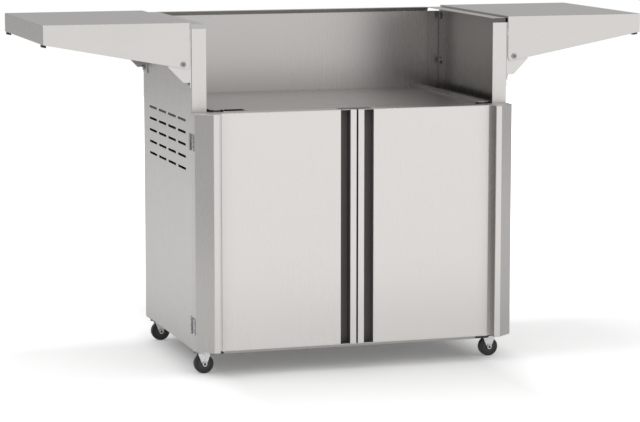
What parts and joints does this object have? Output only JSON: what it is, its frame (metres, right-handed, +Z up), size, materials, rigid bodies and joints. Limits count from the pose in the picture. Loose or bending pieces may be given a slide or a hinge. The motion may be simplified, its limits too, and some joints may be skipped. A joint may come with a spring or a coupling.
{
  "type": "grill cart with storage",
  "caption": "Sheet-steel cart for a built-in grill head with a two-door cabinet, an open cradle above the deck, folding side shelves and swivel casters.",
  "frame": {"origin": "under the middle of the whole cart's outline, doors included, on the floor", "axes": "+Z up, +X to the right of a person facing the doors, +Y from the doors to the back"},
  "size_m": [1.5868, 0.585, 0.8934],
  "materials": {
    "brushed_steel": "brushed",
    "bright_steel": "satin",
    "zinc": "bright zinc plate",
    "tyre": "matte",
    "black_plastic": "matte",
    "rubber": "matte"
  },
  "bodies": {
    "cabinet": {"back_panel": "brushed_steel", "base_pan": "brushed_steel", "bracket_bolts": "bright_steel", "bracket_nuts": "bright_steel", "caster_plates": "zinc", "caster_screws": "zinc", "deck": "brushed_steel", "deck_support_left": "brushed_steel", "deck_support_right": "brushed_steel", "door_catches": "black_plastic", "hinge_fixed_left": "brushed_steel", "hinge_fixed_right": "brushed_steel", "rear_panel": "brushed_steel", "shelf_bracket_front_left": "brushed_steel", "shelf_bracket_front_right": "brushed_steel", "shelf_bracket_rear_left": "brushed_steel", "shelf_bracket_rear_right": "brushed_steel", "side_panel_left": "brushed_steel", "side_panel_right": "brushed_steel"},
    "left_shelf": {"shelf_left": "brushed_steel", "shelf_pivots_left": "bright_steel", "shelf_bumpers_left": "rubber"},
    "left_door": {"door_column_left": "brushed_steel", "door_panel_left": "brushed_steel", "door_pull_left": "brushed_steel", "door_liner_left": "brushed_steel", "hinge_moving_left": "brushed_steel", "strike_plate_left": "bright_steel"},
    "right_shelf": {"shelf_right": "brushed_steel", "shelf_pivots_right": "bright_steel", "shelf_bumpers_right": "rubber"},
    "right_door": {"door_column_right": "brushed_steel", "door_panel_right": "brushed_steel", "door_pull_right": "brushed_steel", "door_liner_right": "brushed_steel", "hinge_moving_right": "brushed_steel", "strike_plate_right": "bright_steel"},
    "fork_front_left": {"caster_fork_front_left": "zinc"},
    "wheel_front_left": {"caster_wheel_front_left": "tyre"},
    "fork_front_right": {"caster_fork_front_right": "zinc"},
    "wheel_front_right": {"caster_wheel_front_right": "tyre"},
    "fork_rear_left": {"caster_fork_rear_left": "zinc"},
    "wheel_rear_left": {"caster_wheel_rear_left": "tyre"},
    "fork_rear_right": {"caster_fork_rear_right": "zinc"},
    "wheel_rear_right": {"caster_wheel_rear_right": "tyre"}
  },
  "joints": [
    {"name": "left_shelf_fold", "type": "hinge", "parent": "cabinet", "child": "left_shelf", "pos_m": [-0.4404, 0, 0.7898], "axis": [0, 1, 0], "range_deg": [-101.1, 0]},
    {"name": "left_door_swing", "type": "hinge", "parent": "cabinet", "child": "left_door", "pos_m": [-0.4249, -0.2235, 0.3624], "axis": [0, 0, -1], "range_deg": [0, 90]},
    {"name": "right_shelf_fold", "type": "hinge", "parent": "cabinet", "child": "right_shelf", "pos_m": [0.4404, 0, 0.7898], "axis": [0, -1, 0], "range_deg": [-101.1, 0]},
    {"name": "right_door_swing", "type": "hinge", "parent": "cabinet", "child": "right_door", "pos_m": [0.4249, -0.2235, 0.3624], "axis": [0, 0, 1], "range_deg": [0, 90]},
    {"name": "front_left_swivel", "type": "hinge", "parent": "cabinet", "child": "fork_front_left", "pos_m": [-0.399, -0.1935, 0.06], "axis": [0, 0, 1], "continuous": true},
    {"name": "front_left_roll", "type": "hinge", "parent": "fork_front_left", "child": "wheel_front_left", "pos_m": [-0.386, -0.1935, 0.025], "axis": [0, 1, 0], "continuous": true},
    {"name": "front_right_swivel", "type": "hinge", "parent": "cabinet", "child": "fork_front_right", "pos_m": [0.399, -0.1935, 0.06], "axis": [0, 0, 1], "continuous": true},
    {"name": "front_right_roll", "type": "hinge", "parent": "fork_front_right", "child": "wheel_front_right", "pos_m": [0.386, -0.1935, 0.025], "axis": [0, 1, 0], "continuous": true},
    {"name": "rear_left_swivel", "type": "hinge", "parent": "cabinet", "child": "fork_rear_left", "pos_m": [-0.399, 0.2695, 0.06], "axis": [0, 0, 1], "continuous": true},
    {"name": "rear_left_roll", "type": "hinge", "parent": "fork_rear_left", "child": "wheel_rear_left", "pos_m": [-0.386, 0.2695, 0.025], "axis": [0, 1, 0], "continuous": true},
    {"name": "rear_right_swivel", "type": "hinge", "parent": "cabinet", "child": "fork_rear_right", "pos_m": [0.399, 0.2695, 0.06], "axis": [0, 0, 1], "continuous": true},
    {"name": "rear_right_roll", "type": "hinge", "parent": "fork_rear_right", "child": "wheel_rear_right", "pos_m": [0.386, 0.2695, 0.025], "axis": [0, 1, 0], "continuous": true}
  ]
}
